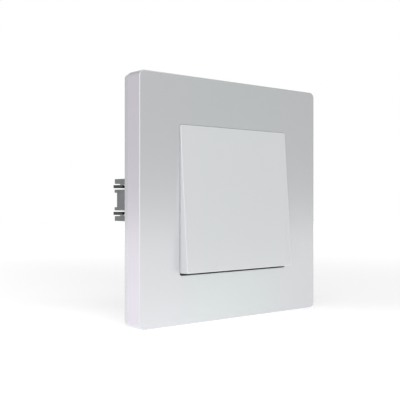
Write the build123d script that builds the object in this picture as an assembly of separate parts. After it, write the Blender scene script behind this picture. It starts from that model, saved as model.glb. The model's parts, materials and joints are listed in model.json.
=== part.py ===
from build123d import *
import math
import os

# A flush-mounted rocker switch with a cross-over contact set.
# Millimetres, X to the right, Y into the wall, Z up, wall plane at Y = 0.

# Cover frame
FRAME_SIZE = 83.0
FRAME_DEPTH = 9.0
FRAME_CORNER = 2.0
FRAME_EDGE = 0.35
FRAME_PLATE = 2.0
FRAME_SKIRT = 2.0
FRAME_INNER_CORNER = 0.5
FRAME_TAPER_DEPTH = 2.6
FRAME_TAPER_IN = 0.55
APERTURE = 50.3
APERTURE_CORNER = 0.9
APERTURE_EDGE = 0.1
COLLAR_WALL = 1.4
RIB_T = 1.2
RIB_DEPTH = 2.4
RIB_AT = 18.0
HOOK_AT = 12.0
HOOK_W = 4.0
HOOK_BARB = 0.8
HOOK_BARB_L = 1.2
HOOK_SEAT = 0.08
HOOK_CLEAR = 0.3

# Rocker, tilted about X with its upper end pressed in
ROCKER_SIDE_GAP = 0.12
ROCKER_END_GAP = 0.45
ROCKER_CORNER = 0.8
ROCKER_EDGE = 0.25
ROCKER_FACE = 1.8
ROCKER_WALL = 1.5
ROCKER_INNER_CORNER = 0.4
ROCKER_RISE = 6.0
ROCKER_SKIRT = 6.0
ROCKER_TILT = 4.3
ROCKER_RIB_T = 1.0
PIVOT_AHEAD = 5.0
ARM_T = 1.2
ARM_W = 10.0
ARM_HOOK = 0.8
ARM_HOOK_L = 1.0
ARM_CLEAR = 0.1

# Rocker carrier with trunnions and plunger tubes
CARRIER_W = 29.0
CARRIER_H = 14.0
CARRIER_T = 1.8
CHEEK_T = 2.0
CHEEK_CLEAR = 0.3
TRUNNION_R = 1.5
TRUNNION_FIT = 0.05
TRUNNION_END = 0.2
LUG_GAP = 0.4
LUG_T = 2.0
LUG_R = 3.0
LUG_REACH = 2.2
LUG_SLOT = 2.5
TUBE_R = 2.7
TUBE_REACH = 10.5
TUBE_CLEAR = 0.4

# Plungers and their springs
PLUNGER_R = 1.5
PLUNGER_L = 7.0
PLUNGER_REACH = 15.0
PLUNGER_FIT = 0.1
SPRING_WIRE = 0.36
SPRING_TURNS = 7
SPRING_END = 0.05

# Contact levers, tipped over on their knife edges
LEVER_X = 8.0
LEVER_W = 5.0
LEVER_HALF = 9.5
LEVER_FRONT = 0.7
LEVER_REAR = 0.5
LEVER_TILT = 10.8
LEVER_TIP_GAP = 0.05
GROOVE_ANGLE = 55.0
KNIFE_ANGLE = 25.0
KNIFE_FIT = 0.03

# Contacts and strips
CONTACT_ARM = 8.0
DOME_R = 3.0
DOME_RISE = 1.0
CONTACT_GAP = 0.08
FIXED_CONTACT_R = 1.8
FIXED_CONTACT_H = 0.8
STRIP_T = 0.8
STRIP_W = 4.0
PAD_R = 2.5
CROSS_GAP = 1.74
JOGGLE_FLAT = 3.4
JOGGLE_RAMP = 1.8
FLOOR_CLEAR = 2.0

# Base housing
LEVER_SIDE_CLEAR = 0.5
LEVER_END_CLEAR = 2.0
INNER_WALL = 1.4
CHAMBER_W = 6.8
CHAMBER_LOW = 5.0
CHAMBER_L = 12.6
CHAMBER_EXTRA = 4.4
OUTER_WALL = 2.6
REAR_WALL = 1.6
RIM_WALL_Z = 1.2
BASE_CORNER_CUT = 3.0
STRIP_SLOT_FIT = 0.1

# Mechanism cover
COVER_W = 35.4
COVER_H = 28.0
COVER_RISE = 3.0
COVER_WALL = 1.5
COVER_FLANGE_T = 1.5
COVER_LAP = 0.4
COVER_FIT = 0.2
COVER_CORNER_CUT = 2.0
BARRIER_T = 1.0
BARRIER_GAP = 0.35

# Support ring and its rivets
RING_EDGE = 3.0
RING_T = 1.2
RING_CORNER_CUT = 9.0
RING_OPEN_FIT = 0.3
BOX_SPACING = 60.0
BOX_SLOT_L = 5.0
BOX_SLOT_W = 3.8
RIVET_X = 7.0
RIVET_Z = 17.2
RIVET_R = 1.0
RIVET_FIT = 0.05
RIVET_HEAD_R = 1.8
RIVET_HEAD_T = 0.6
RIVET_DEPTH = 5.5

# Push-in terminals
BAR_MARGIN = 0.4
BAR_FRONT = 13.5
BAR_REAR_GAP = 1.9
WIRE_R = 1.4
WIRE_LEAD = 0.4
WIRE_FROM_BAR = 1.6
WIRE_PITCH = 7.2
CLAMP_T = 0.45
CLAMP_MARGIN = 1.0
CLAMP_WALL_GAP = 0.05
CLAMP_BAR_GAP = 0.25
CLAMP_BEND_R = 1.4
CLAMP_BACK_FRONT = 11.0
CLAMP_TIP = 7.9
CLAMP_CORNER = 1.1
CLAMP_SLIT = 1.0
BUTTON_T = 1.6
BUTTON_W = 2.6
BUTTON_FIT = 0.1
BUTTON_PROUD = 0.9
BUTTON_COLLAR = 0.5
BUTTON_COLLAR_T = 1.2
BUTTON_SEAT = 0.1
BUTTON_CLAMP_GAP = 0.35

# Spreading claws, their screws, nuts and springs
SCREW_R = 1.5
SCREW_HEAD_R = 2.4
SCREW_HEAD_T = 2.0
SCREW_REACH = 15.6
SCREW_TIP = 0.5
SCREW_SLOT_W = 0.9
SCREW_SLOT_D = 1.1
SCREW_HOLE_FIT = 0.15
SCREW_BASE_GAP = 0.3
HEAD_CLEAR = 0.6
NUT_FIT = 0.03
NUT_BASE_GAP = 0.2
NUT_W = 5.05
NUT_HALF_H = 2.45
NUT_T = 2.4
NUT_AT = 10.2
CLAW_T = 1.16
CLAW_NUT_GAP = 0.15
CLAW_HINGE_OUT = 1.6
CLAW_HINGE_R = 1.2
CLAW_RING_GAP = 0.1
CLAW_WEB_T = 1.0
CLAW_RAMP_FRONT = 2.5
CLAW_RAMP_REAR = 11.0
CLAW_RAMP_OUT = 1.2
CLAW_OUT = 3.2
CLAW_FLANGE_W = 2.8
CLAW_WEB_REAR = 23.35
CLAW_REAR = 24.9
CLAW_TONGUE_W = 1.2
CLAW_TONGUE_IN = 1.1
CLAW_SWING = 12.5
TONGUE_CLEAR = 0.25
EAR_FRONT = 19.6
EAR_L = 1.4
EAR_W = 1.3
LEAF_T = 0.65
LEAF_W = 1.08
LEAF_EAR_GAP = 0.65
LEAF_SIDE = 0.56
LEAF_FRONT = 20.4
LEAF_FOLD = 0.5
LEAF_TURN = 1.0
LEAF_SEAT = 0.05
LEAF_BAR_IN = 1.3
LEAF_KEEP_W = 0.7
LEAF_KEEP_HALF = 2.4
GUIDE_REAR = 25.4
GUIDE_RIB_T = 1.75
GUIDE_RIB_GAP = 0.44
GUIDE_STEP = 0.35
GUIDE_STEP_REAR = 21.9
GUIDE_BACK = 0.4

# A cutting tool reaches this far past the face that it opens
OVERCUT = 1.0
# Edges this near to a plane count as lying in it
NEAR = 0.001

# Depths that follow from the sizes above
FRAME_FRONT = -FRAME_DEPTH
PIVOT_Y = -PIVOT_AHEAD
RING_FRONT = -RING_T
COVER_FRONT = -COVER_RISE
COVER_REAR = COVER_FLANGE_T
CHEEK_R = COVER_FRONT - PIVOT_Y - CHEEK_CLEAR
ROCKER_IN = ROCKER_FACE - ROCKER_RISE
CARRIER_REAR = ROCKER_IN + CARRIER_T
LEVER_Y = PIVOT_Y + PLUNGER_REACH + LEVER_TIP_GAP + LEVER_FRONT
LEVER_RAD = math.radians(LEVER_TILT)
DOME_IN = LEVER_REAR + DOME_RISE - DOME_R
DOME_Y = LEVER_Y + DOME_IN * math.cos(LEVER_RAD) + CONTACT_ARM * math.sin(LEVER_RAD)
CONTACT_Z = CONTACT_ARM * math.cos(LEVER_RAD) - DOME_IN * math.sin(LEVER_RAD)
FIXED_FACE = DOME_Y + DOME_R + CONTACT_GAP
STRIP_FRONT = FIXED_FACE + FIXED_CONTACT_H
STRIP_REAR = STRIP_FRONT + STRIP_T
FLOOR_Y = STRIP_REAR + CROSS_GAP + STRIP_T + FLOOR_CLEAR
CHAMBER_REAR = FLOOR_Y + CHAMBER_EXTRA
BASE_REAR = CHAMBER_REAR + REAR_WALL
LEAF_REAR = BASE_REAR + LEAF_SEAT + LEAF_T / 2

# Widths and heights that follow from the sizes above
ROCKER_W = APERTURE - 2 * ROCKER_SIDE_GAP
ROCKER_H = APERTURE - 2 * ROCKER_END_GAP
COLLAR_OUT = APERTURE / 2 + COLLAR_WALL
RING_SIZE = BOX_SPACING + BOX_SLOT_L + 2 * RING_EDGE
CAVITY_X = LEVER_X + LEVER_W / 2 + LEVER_SIDE_CLEAR
CAVITY_Z = LEVER_HALF + LEVER_END_CLEAR
CHAMBER_X0 = CAVITY_X + INNER_WALL
CHAMBER_X1 = CHAMBER_X0 + CHAMBER_W
CHAMBER_HIGH = CHAMBER_LOW + CHAMBER_L
BASE_X = CHAMBER_X1 + OUTER_WALL
FLANGE_X = CHAMBER_X1 + COVER_LAP
FLANGE_Z = FLANGE_X
BASE_Z = FLANGE_Z + COVER_FIT + RIM_WALL_Z
BAR_X = CHAMBER_X0 + STRIP_T
TERMINAL_Z = (CHAMBER_LOW + CHAMBER_HIGH) / 2
WIRE_X = BAR_X + WIRE_FROM_BAR
SCREW_X = BASE_X + SCREW_BASE_GAP + SCREW_R
HINGE_X = SCREW_X + CLAW_HINGE_OUT
HINGE_Y = CLAW_RING_GAP + CLAW_HINGE_R
CLAW_X = HINGE_X + CLAW_OUT
FLANGE_IN = NUT_HALF_H + CLAW_NUT_GAP
FLANGE_OUT = FLANGE_IN + CLAW_T
LEAF_Z = FLANGE_OUT + LEAF_SIDE + LEAF_W / 2
LEAF_X = BASE_X - LEAF_BAR_IN
GUIDE_Z = LEAF_Z + LEAF_W / 2 + GUIDE_RIB_GAP
LUG_IN = CARRIER_W / 2 + LUG_GAP
LUG_OUT = LUG_IN + LUG_T

SIDES = {"left": -1, "right": 1}
LEVELS = {"top": 1, "bottom": -1}


def both(half):
    """Low and high of a span about zero."""
    return (-half, half)


def about(centre, width):
    """Low and high of a span about a centre."""
    return (centre - width / 2, centre + width / 2)


def block(x, y, z):
    """Box between a low and a high value on each axis."""
    size = [high - low for low, high in (x, y, z)]
    centre = [(low + high) / 2 for low, high in (x, y, z)]
    return Pos(*centre) * Box(*size)


def rod_y(radius, y, x=0.0, z=0.0):
    """Round bar along Y."""
    return Pos(x, (y[0] + y[1]) / 2, z) * Rot(90, 0, 0) * Cylinder(radius, y[1] - y[0])


def rod_x(radius, x, y, z=0.0):
    """Round bar along X."""
    return Pos((x[0] + x[1]) / 2, y, z) * Rot(0, 90, 0) * Cylinder(radius, x[1] - x[0])


def panel(width, height, y, corner):
    """Plate parallel to the wall with rounded corners."""
    outline = Plane.XZ.offset(-y[0]) * RectangleRounded(width, height, corner)
    return extrude(outline, amount=y[1] - y[0], dir=(0, 1, 0))


def prism_x(points, x):
    """Run a closed outline of (y, z) points along X."""
    outline = Plane.YZ.offset(x[0]) * Polygon(*points, align=None)
    return extrude(outline, amount=x[1] - x[0], dir=(1, 0, 0))


def prism_y(points, y):
    """Run a closed outline of (x, z) points along Y."""
    outline = Plane.XZ.offset(-y[0]) * Polygon(*points, align=None)
    return extrude(outline, amount=y[1] - y[0], dir=(0, 1, 0))


def prism_z(points, z):
    """Run a closed outline of (x, y) points along Z."""
    outline = Plane.XY.offset(z[0]) * Polygon(*points, align=None)
    return extrude(outline, amount=z[1] - z[0], dir=(0, 0, 1))


def cut_corner_outline(half_x, half_z, cut):
    """Rectangle about zero with its four corners cut off."""
    return [
        (half_x - cut, -half_z),
        (half_x, cut - half_z),
        (half_x, half_z - cut),
        (half_x - cut, half_z),
        (cut - half_x, half_z),
        (-half_x, half_z - cut),
        (-half_x, cut - half_z),
        (cut - half_x, -half_z),
    ]


def edges_at(piece, y):
    """Edges that lie in one plane parallel to the wall."""
    return piece.edges().filter_by_position(Axis.Y, y - NEAR, y + NEAR)


def by_the_rocker(edge):
    """Whether an edge of the frame lies round the rocker."""
    middle = edge.center()
    return max(abs(middle.X), abs(middle.Z)) < COLLAR_OUT


def on_side(piece, side):
    """Mirror a piece made for the right to the left where it belongs there."""
    return mirror(piece, about=Plane.YZ) if side < 0 else piece


def in_quarter(piece, side, level):
    """Mirror a piece made for the upper right to its own quarter."""
    piece = on_side(piece, side)
    return mirror(piece, about=Plane.XY) if level < 0 else piece


def tilted(piece):
    """Tilt a piece of the rocker about the trunnions to its rest position."""
    return (Pos(0, PIVOT_Y, 0) * Rot(-ROCKER_TILT, 0, 0)) * piece


def tipped(piece, side):
    """Set a piece of a contact lever on its knife edge, lower end rearwards."""
    return (Pos(side * LEVER_X, LEVER_Y, 0) * Rot(LEVER_TILT, 0, 0)) * piece


def swept_wire(path, radius):
    """Round wire along a path."""
    return sweep(Plane(origin=path @ 0, z_dir=path % 0) * Circle(radius), path=path)


def cover_frame():
    """Square frame: front plate, tapering skirt, collar round the rocker, ribs and hooks."""
    taper_y = -FRAME_TAPER_DEPTH
    shell = panel(FRAME_SIZE, FRAME_SIZE, (FRAME_FRONT, taper_y), FRAME_CORNER)
    small = FRAME_SIZE - 2 * FRAME_TAPER_IN
    wide_end = Plane.XZ.offset(-taper_y) * RectangleRounded(FRAME_SIZE, FRAME_SIZE, FRAME_CORNER)
    wall_end = Plane.XZ * RectangleRounded(small, small, FRAME_CORNER - FRAME_TAPER_IN)
    shell += loft([wide_end, wall_end], ruled=True)
    plate_rear = FRAME_FRONT + FRAME_PLATE
    inner = FRAME_SIZE - 2 * FRAME_SKIRT
    shell -= panel(inner, inner, (plate_rear, OVERCUT), FRAME_INNER_CORNER)
    shell += panel(2 * COLLAR_OUT, 2 * COLLAR_OUT, (plate_rear, RING_FRONT), APERTURE_CORNER + COLLAR_WALL)
    for turn in range(4):
        for z in (-RIB_AT, RIB_AT):
            rib = block((COLLAR_OUT - COLLAR_WALL, FRAME_SIZE / 2 - FRAME_SKIRT / 2),
                        (plate_rear - FRAME_PLATE / 2, plate_rear + RIB_DEPTH), about(z, RIB_T))
            shell += Rot(0, 90 * turn, 0) * rib
    shell -= panel(APERTURE, APERTURE, (FRAME_FRONT - OVERCUT, OVERCUT), APERTURE_CORNER)
    shell = fillet(edges_at(shell, FRAME_FRONT).filter_by(by_the_rocker), APERTURE_EDGE)
    outline = [edge for edge in edges_at(shell, FRAME_FRONT) if not by_the_rocker(edge)]
    shell = fillet(outline, FRAME_EDGE)
    for side in SIDES.values():
        head_room = block((SCREW_X - SCREW_HEAD_R - HEAD_CLEAR, SCREW_X + SCREW_HEAD_R + HEAD_CLEAR),
                          (RING_FRONT - SCREW_HEAD_T - HEAD_CLEAR, OVERCUT),
                          both(SCREW_HEAD_R + HEAD_CLEAR))
        shell -= on_side(head_room, side)
        for z in (-HOOK_AT, HOOK_AT):
            shell += on_side(frame_hook(z), side)
    return shell


def frame_hook(z):
    """Snap hook of the frame: leg through the ring and a barb behind it."""
    root = APERTURE / 2
    seat = HOOK_SEAT
    tip = seat + HOOK_BARB_L
    outline = [
        (root, RING_FRONT - COLLAR_WALL),
        (COLLAR_OUT, RING_FRONT - COLLAR_WALL),
        (COLLAR_OUT, seat),
        (COLLAR_OUT + HOOK_BARB, seat),
        (COLLAR_OUT, tip),
        (root, tip),
    ]
    return prism_z(outline, about(z, HOOK_W))


def rocker():
    """Rocker shell with its snap arms, made upright and then tilted."""
    front = -ROCKER_RISE
    rear = front + ROCKER_SKIRT
    shell = panel(ROCKER_W, ROCKER_H, (front, rear), ROCKER_CORNER)
    shell = fillet(edges_at(shell, front), ROCKER_EDGE)
    inner_w = ROCKER_W - 2 * ROCKER_WALL
    inner_h = ROCKER_H - 2 * ROCKER_WALL
    shell -= panel(inner_w, inner_h, (ROCKER_IN, rear + OVERCUT), ROCKER_INNER_CORNER)
    edge = CARRIER_H / 2 + ARM_CLEAR
    hook_front = CARRIER_REAR + ARM_CLEAR
    hook_rear = hook_front + ARM_HOOK_L
    arm = prism_x([
        (ROCKER_IN - ROCKER_FACE / 2, edge),
        (hook_front, edge),
        (hook_front, edge - ARM_HOOK),
        (hook_rear, edge),
        (hook_rear, edge + ARM_T),
        (ROCKER_IN - ROCKER_FACE / 2, edge + ARM_T),
    ], both(ARM_W / 2))
    shell += arm
    shell += mirror(arm, about=Plane.XY)
    rib_low = edge + ARM_T
    rib_high = ROCKER_H / 2 - ROCKER_WALL / 2
    for x in both(ARM_W / 2 - ROCKER_RIB_T / 2):
        rib = block(about(x, ROCKER_RIB_T), (ROCKER_IN - ROCKER_FACE / 2, CARRIER_REAR),
                    (rib_low - ARM_T / 2, rib_high))
        shell += rib
        shell += mirror(rib, about=Plane.XY)
    return tilted(shell)


def rocker_carrier():
    """Carrier plate with cheeks, trunnions and two plunger tubes, then tilted."""
    carrier = block(both(CARRIER_W / 2), (ROCKER_IN, CARRIER_REAR), both(CARRIER_H / 2))
    for side in SIDES.values():
        cheek_x = (CARRIER_W / 2 - CHEEK_T, CARRIER_W / 2)
        cheek = block(cheek_x, (CARRIER_REAR - CARRIER_T / 2, 0), both(CHEEK_R))
        cheek += rod_x(CHEEK_R, cheek_x, 0)
        cheek += rod_x(TRUNNION_R, (cheek_x[0], LUG_OUT - TRUNNION_END), 0)
        carrier += on_side(cheek, side)
        tube = rod_y(TUBE_R, (CARRIER_REAR - CARRIER_T / 2, TUBE_REACH), side * LEVER_X)
        bore = rod_y(PLUNGER_R + PLUNGER_FIT, (CARRIER_REAR, TUBE_REACH + OVERCUT), side * LEVER_X)
        carrier += tube
        carrier -= bore
    return tilted(carrier)


def plunger(side):
    """Round plunger with a ball end, in its tube."""
    ball_y = PLUNGER_REACH - PLUNGER_R
    pin = rod_y(PLUNGER_R, (PLUNGER_REACH - PLUNGER_L, ball_y), side * LEVER_X)
    pin += Pos(side * LEVER_X, ball_y, 0) * Sphere(PLUNGER_R)
    return tilted(pin)


def plunger_spring(side):
    """Coil spring between the bottom of the tube and the plunger."""
    wire_r = SPRING_WIRE / 2
    start = CARRIER_REAR + SPRING_END + wire_r
    end = PLUNGER_REACH - PLUNGER_L - SPRING_END - wire_r
    coil = Helix((end - start) / SPRING_TURNS, end - start, PLUNGER_R - wire_r,
                 center=(side * LEVER_X, start, 0), direction=(0, 1, 0))
    return tilted(swept_wire(coil, wire_r))


def contact_lever(side):
    """Flat lever with the groove for the knife edge on its rear face."""
    lever = block(both(LEVER_W / 2), (-LEVER_FRONT, LEVER_REAR), both(LEVER_HALF))
    deep = LEVER_REAR + OVERCUT
    spread = deep * math.tan(math.radians(GROOVE_ANGLE))
    lever -= prism_x([(0, 0), (deep, -spread), (deep, spread)], both(LEVER_W / 2 + OVERCUT))
    return tipped(lever, side)


def lever_contacts(side):
    """Two domed contact buttons on the rear face of a lever."""
    cap = Pos(0, DOME_IN, 0) * Sphere(DOME_R)
    cap &= block(both(DOME_R), (LEVER_REAR, LEVER_REAR + DOME_RISE), both(DOME_R))
    domes = [tipped(Pos(0, 0, z) * cap, side) for z in both(CONTACT_ARM)]
    return Compound([solid for dome in domes for solid in dome.solids()])


def fixed_contacts():
    """Four flat contact buttons on the crossing strips."""
    buttons = []
    for x in both(LEVER_X):
        for z in both(CONTACT_Z):
            buttons.append(rod_y(FIXED_CONTACT_R, (FIXED_FACE, STRIP_FRONT), x, z))
    return Compound([solid for button in buttons for solid in button.solids()])


def current_bar(front):
    """Bar of the upper right terminal, on the inner wall of its chamber."""
    low = CHAMBER_LOW + BAR_MARGIN
    high = CHAMBER_HIGH - BAR_MARGIN
    return block((CHAMBER_X0, BAR_X), (front, CHAMBER_REAR - BAR_REAR_GAP), (low, high))


def common_strip(side):
    """Knife edge, floor plate and current bar of one lever, to the lower terminal."""
    half_t = STRIP_T / 2
    tip = LEVER_Y + KNIFE_FIT
    shoulder = tip + half_t / math.tan(math.radians(KNIFE_ANGLE))
    plate_front = FLOOR_Y - STRIP_T
    post_x = about(LEVER_X, LEVER_W)
    strip = prism_x([(tip, 0), (shoulder, -half_t), (FLOOR_Y, -half_t), (FLOOR_Y, half_t), (shoulder, half_t)],
                    post_x)
    strip += block((post_x[0], BAR_X), (plate_front, FLOOR_Y), both(STRIP_W / 2))
    strip += block((CHAMBER_X0, BAR_X), (plate_front - STRIP_W / 2, FLOOR_Y),
                   (-CHAMBER_LOW - BAR_MARGIN - STRIP_T, STRIP_W / 2))
    strip += mirror(current_bar(BAR_FRONT), about=Plane.XY)
    return on_side(strip, side)


def cross_strip(joggle):
    """Strip from the upper right contact across to the lower left one, with its terminal bar."""
    length = 2 * math.hypot(LEVER_X, CONTACT_Z)
    lean = math.degrees(math.atan2(CONTACT_Z, LEVER_X))
    ramp = JOGGLE_FLAT + JOGGLE_RAMP
    front = [(-length / 2, 0), (-ramp, 0), (-JOGGLE_FLAT, joggle),
             (JOGGLE_FLAT, joggle), (ramp, 0), (length / 2, 0)]
    rear = [(u, y + STRIP_T) for u, y in reversed(front)]
    link = Pos(0, STRIP_FRONT, 0) * prism_z(front + rear, both(STRIP_W / 2))
    strip = Rot(0, -lean, 0) * link
    for end in (-1, 1):
        strip += rod_y(PAD_R, (STRIP_FRONT, STRIP_REAR), end * LEVER_X, end * CONTACT_Z)
    strip += block((LEVER_X, BAR_X), (STRIP_FRONT, STRIP_REAR), about(CONTACT_Z, STRIP_W))
    return strip + current_bar(BAR_FRONT)


def cross_strip_flat():
    """Strip that stays flat, with its terminal at the upper left."""
    return mirror(cross_strip(0.0), about=Plane.YZ)


def cross_strip_joggled():
    """Strip that dips behind the flat one, with its terminal at the upper right."""
    return cross_strip(STRIP_T + CROSS_GAP)


def clamp_route():
    """Middle line of the clamp spring of the upper right terminal, from its foot to its tip."""
    back_x = CHAMBER_X1 - CLAMP_WALL_GAP - CLAMP_T / 2
    tip = (BAR_X + CLAMP_BAR_GAP + CLAMP_T / 2, CHAMBER_REAR - CLAMP_TIP)
    return [(back_x, CLAMP_BACK_FRONT), (back_x, CHAMBER_REAR + CLAMP_CORNER), tip]


def clamp_spring(side, level):
    """Bent leaf that presses the wires on the current bar, slit into two tongues."""
    path = Pos(0, 0, TERMINAL_Z) * FilletPolyline(*clamp_route(), radius=CLAMP_BEND_R)
    width = CHAMBER_L - 2 * CLAMP_MARGIN
    profile = Plane(origin=path @ 0, x_dir=(0, 0, 1), z_dir=path % 0) * Rectangle(width, CLAMP_T)
    leaf = sweep(profile, path=path)
    back_x = clamp_route()[0][0]
    leaf -= block((BAR_X, back_x - 2 * CLAMP_BEND_R), (CLAMP_BACK_FRONT, CHAMBER_REAR),
                  about(TERMINAL_Z, CLAMP_SLIT))
    return in_quarter(leaf, side, level)


def clamp_face(x):
    """Depth at which the clamp tongue of a terminal faces the button, at a given x."""
    (back_x, _), (_, corner_y), (tip_x, tip_y) = clamp_route()
    slope = (corner_y - tip_y) / (back_x - tip_x)
    return tip_y + slope * (x - tip_x) + CLAMP_T / 2 * math.hypot(1, slope)


def release_button(side, level):
    """Button between the two wire holes of a terminal, its collar inside the rear wall."""
    x = about(WIRE_X, BUTTON_T)
    tip = clamp_face(x[1]) + BUTTON_CLAMP_GAP
    stem = block(x, (tip, BASE_REAR + BUTTON_PROUD), about(TERMINAL_Z, BUTTON_W))
    stem = chamfer(edges_at(stem, BASE_REAR + BUTTON_PROUD), BUTTON_PROUD / 3)
    collar_rear = CHAMBER_REAR - BUTTON_SEAT
    stem += block(about(WIRE_X, BUTTON_T + 2 * BUTTON_COLLAR), (collar_rear - BUTTON_COLLAR_T, collar_rear),
                  about(TERMINAL_Z, BUTTON_W + 2 * BUTTON_COLLAR))
    return in_quarter(stem, side, level)


def base_housing():
    """Moulded body with contact space, four terminal chambers, claw guides and wire entries."""
    base = prism_y(cut_corner_outline(BASE_X, BASE_Z, BASE_CORNER_CUT), (0, BASE_REAR))
    recess = cut_corner_outline(FLANGE_X + COVER_FIT, FLANGE_Z + COVER_FIT, COVER_CORNER_CUT)
    base -= prism_y(recess, (-OVERCUT, COVER_REAR))
    base -= block(both(CAVITY_X), (0, FLOOR_Y), both(CAVITY_Z))
    for x in both(LEVER_X):
        for z in both(CONTACT_Z):
            base += block(about(x, 2 * PAD_R), (STRIP_REAR, FLOOR_Y + REAR_WALL), about(z, 2 * PAD_R))
    strip_slot = STRIP_W + 2 * STRIP_SLOT_FIT
    for side in SIDES.values():
        for level in LEVELS.values():
            base -= in_quarter(terminal_space(), side, level)
        arm_slot = block((CAVITY_X - OVERCUT, BAR_X), (0, STRIP_REAR), about(CONTACT_Z, strip_slot))
        common_slot = block((CAVITY_X - OVERCUT, BAR_X), (0, FLOOR_Y), both(strip_slot / 2))
        bar_slot = block((CHAMBER_X0, BAR_X), (0, FLOOR_Y), (-CHAMBER_LOW - STRIP_T, strip_slot / 2))
        for slot in (arm_slot, common_slot, bar_slot):
            base -= on_side(slot, side)
        base += on_side(claw_guide(), side)
    for x in both(RIVET_X):
        for z in both(RIVET_Z):
            base -= rod_y(RIVET_R + RIVET_FIT, (0, COVER_REAR + RIVET_DEPTH + OVERCUT), x, z)
    return base


def terminal_space():
    """Chamber, wire entries and button hole of the upper right terminal."""
    space = block((CHAMBER_X0, CHAMBER_X1), (0, CHAMBER_REAR), (CHAMBER_LOW, CHAMBER_HIGH))
    through = (CHAMBER_REAR - OVERCUT, BASE_REAR + OVERCUT)
    for z in about(TERMINAL_Z, WIRE_PITCH):
        space += rod_y(WIRE_R, through, WIRE_X, z)
        lead_in = Rot(90, 0, 0) * Cone(WIRE_R + 2 * WIRE_LEAD, WIRE_R, 2 * WIRE_LEAD)
        space += Pos(WIRE_X, BASE_REAR, z) * lead_in
    return space + block(about(WIRE_X, BUTTON_T + 2 * BUTTON_FIT), through,
                         about(TERMINAL_Z, BUTTON_W + 2 * BUTTON_FIT))


def claw_guide():
    """Two ribs that guide the right claw, and two low ones that keep its spring in place."""
    out = CLAW_X - GUIDE_BACK
    keep = LEAF_W / 2 + LEAF_SEAT + LEAF_KEEP_W / 2
    guide = Part()
    for x in about(LEAF_X, 2 * keep):
        guide += block(about(x, LEAF_KEEP_W), (BASE_REAR - REAR_WALL / 2, BASE_REAR + LEAF_T),
                       both(LEAF_KEEP_HALF))
    for level in LEVELS.values():
        rib = block((BASE_X - OUTER_WALL / 2, out), (0, GUIDE_REAR), (GUIDE_Z, GUIDE_Z + GUIDE_RIB_T))
        rib += block((BASE_X - OUTER_WALL / 2, out), (0, GUIDE_STEP_REAR), (GUIDE_Z - GUIDE_STEP, GUIDE_Z))
        guide += in_quarter(rib, 1, level)
    return guide


def mechanism_cover():
    """Front of the insert: flange under the ring, raised block, bearing lugs and barrier."""
    cover = prism_y(cut_corner_outline(FLANGE_X, FLANGE_Z, COVER_CORNER_CUT), (0, COVER_REAR))
    cover += block(both(COVER_W / 2), (COVER_FRONT, COVER_REAR), both(COVER_H / 2))
    pocket_w = COVER_W / 2 - COVER_WALL
    pocket_h = COVER_H / 2 - COVER_WALL
    cover -= block(both(pocket_w), (COVER_FRONT + COVER_WALL, COVER_REAR + OVERCUT), both(pocket_h))
    cover += block(both(BARRIER_T / 2), (COVER_FRONT + COVER_WALL / 2, FIXED_FACE - BARRIER_GAP),
                   both(CAVITY_Z - COVER_LAP))
    swing = (COVER_REAR - PIVOT_Y) * math.sin(math.radians(ROCKER_TILT))
    for side in SIDES.values():
        cover -= block(about(side * LEVER_X, 2 * (TUBE_R + TUBE_CLEAR)),
                       (COVER_FRONT - OVERCUT, COVER_REAR + OVERCUT), both(TUBE_R + swing + TUBE_CLEAR))
        cover += on_side(bearing_lug(), side)
    for x in both(RIVET_X):
        for z in both(RIVET_Z):
            cover -= rod_y(RIVET_R + RIVET_FIT, (-OVERCUT, COVER_REAR + OVERCUT), x, z)
    return cover


def bearing_lug():
    """Right bearing of the rocker, open to the front so that the trunnion snaps in."""
    lug_x = (LUG_IN, LUG_OUT)
    front = PIVOT_Y - LUG_REACH
    lug = block(lug_x, (front, COVER_FRONT + COVER_WALL / 2), both(LUG_R))
    lug -= rod_x(TRUNNION_R + TRUNNION_FIT, (LUG_IN - OVERCUT, LUG_OUT + OVERCUT), PIVOT_Y)
    lug -= block((LUG_IN - OVERCUT, LUG_OUT + OVERCUT), (front - OVERCUT, PIVOT_Y), both(LUG_SLOT / 2))
    return lug


def support_ring():
    """Stamped steel ring that lies on the wall round the box."""
    through = (RING_FRONT - OVERCUT, OVERCUT)
    ring = prism_y(cut_corner_outline(RING_SIZE / 2, RING_SIZE / 2, RING_CORNER_CUT), (RING_FRONT, 0))
    ring -= block(both(COVER_W / 2 + RING_OPEN_FIT), through, both(COVER_H / 2 + RING_OPEN_FIT))
    slot = Plane.XZ.offset(-through[0]) * SlotOverall(BOX_SLOT_L, BOX_SLOT_W)
    cutter = extrude(slot, amount=through[1] - through[0], dir=(0, 1, 0))
    for turn in range(4):
        ring -= Rot(0, 90 * turn, 0) * (Pos(BOX_SPACING / 2, 0, 0) * cutter)
    for side in SIDES.values():
        ring -= rod_y(SCREW_R + SCREW_HOLE_FIT, through, side * SCREW_X)
        for level in LEVELS.values():
            ring -= in_quarter(tongue_slot(), side, level)
            window = block((APERTURE / 2 - HOOK_CLEAR, COLLAR_OUT + HOOK_BARB + HOOK_CLEAR), through,
                           about(HOOK_AT, HOOK_W + 2 * HOOK_CLEAR))
            ring -= in_quarter(window, side, level)
    for x in both(RIVET_X):
        for z in both(RIVET_Z):
            ring -= rod_y(RIVET_R + RIVET_FIT, through, x, z)
    return ring


def tongue_slot():
    """Slot in the ring for the upper tongue of the right claw, wide enough for its swing."""
    swing = (HINGE_Y + CLAW_TONGUE_IN) * math.sin(math.radians(CLAW_SWING))
    low = HINGE_X - CLAW_TONGUE_W / 2 - swing - TONGUE_CLEAR
    high = HINGE_X + CLAW_TONGUE_W / 2 + TONGUE_CLEAR
    return block((low, high), (RING_FRONT - OVERCUT, OVERCUT),
                 (FLANGE_IN - TONGUE_CLEAR, FLANGE_OUT + TONGUE_CLEAR))


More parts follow.
